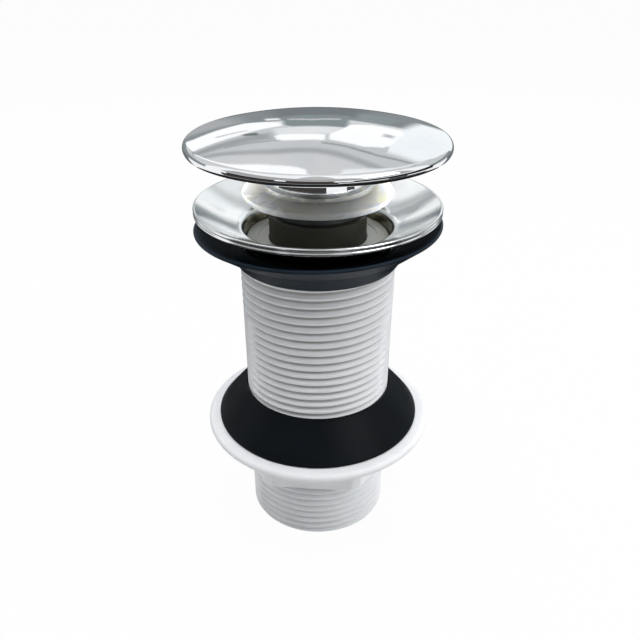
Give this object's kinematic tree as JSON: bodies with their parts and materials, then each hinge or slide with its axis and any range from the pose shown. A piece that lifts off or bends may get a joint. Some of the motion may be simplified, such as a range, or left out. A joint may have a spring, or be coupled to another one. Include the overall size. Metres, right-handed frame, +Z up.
{
  "type": "pop up basin waste",
  "caption": "Pop up basin waste: domed push-push plug with a lip seal in a pressed flange bowl, on a white threaded tail with a cone washer and flanged back nut.",
  "frame": {"origin": "centre of the tail's outlet end, the lowest face of the part", "axes": "+Z up along the tail's axis to the cap; -Y is the side that the picture shows"},
  "size_m": [0.0666, 0.0666, 0.1198],
  "materials": {
    "chrome": "polished",
    "stainless": "polished",
    "white_plastic": "satin",
    "black_rubber": "satin",
    "silicone": "translucent satin",
    "dark_plastic": "satin",
    "grey_plastic": "satin",
    "clamp_metal": "satin",
    "brass": "machined",
    "steel": "plain"
  },
  "bodies": {
    "root": {"tail": "white_plastic", "bowl": "stainless", "bowl_seal": "black_rubber", "bowl_clamp": "clamp_metal", "flange_gasket": "black_rubber", "barrel": "grey_plastic", "barrel_cap": "grey_plastic", "barrel_screw": "steel", "barrel_nut": "steel", "return_spring": "steel"},
    "plug": {"cap_shell": "chrome", "cap_plate": "grey_plastic", "neck": "chrome", "lip_seal": "silicone", "seal_ring": "dark_plastic", "sleeve": "dark_plastic", "stem": "brass", "cam_ring": "grey_plastic", "stem_clip": "steel"},
    "rotor": {"rotor": "grey_plastic"},
    "washer": {"cone_washer": "black_rubber"},
    "nut": {"back_nut": "white_plastic"}
  },
  "joints": [
    {"name": "plug_slide", "type": "slide", "parent": "root", "child": "plug", "axis": [0, 0, 1], "range_m": [-0.01, 0], "stiffness_N_per_m": 500, "springref_m": 0.02, "deforming": ["return_spring"]},
    {"name": "rotor_turn", "type": "hinge", "parent": "plug", "child": "rotor", "pos_m": [0, 0, 0.075], "axis": [0, 0, 1], "range_deg": [0, 45]},
    {"name": "washer_slide", "type": "slide", "parent": "root", "child": "washer", "axis": [0, 0, 1], "range_m": [-0.018, 0.036]},
    {"name": "nut_turn", "type": "hinge", "parent": "washer", "child": "nut", "pos_m": [0, 0, 0.0275], "axis": [0, 0, 1], "range_deg": [-2806.4, 5612.8]}
  ],
  "couplings": [
    {"joint": "rotor_turn", "follows": "plug_slide", "rad_per_m": -78.54},
    {"joint": "washer_slide", "follows": "nut_turn", "m_per_rad": 0.00036749}
  ]
}
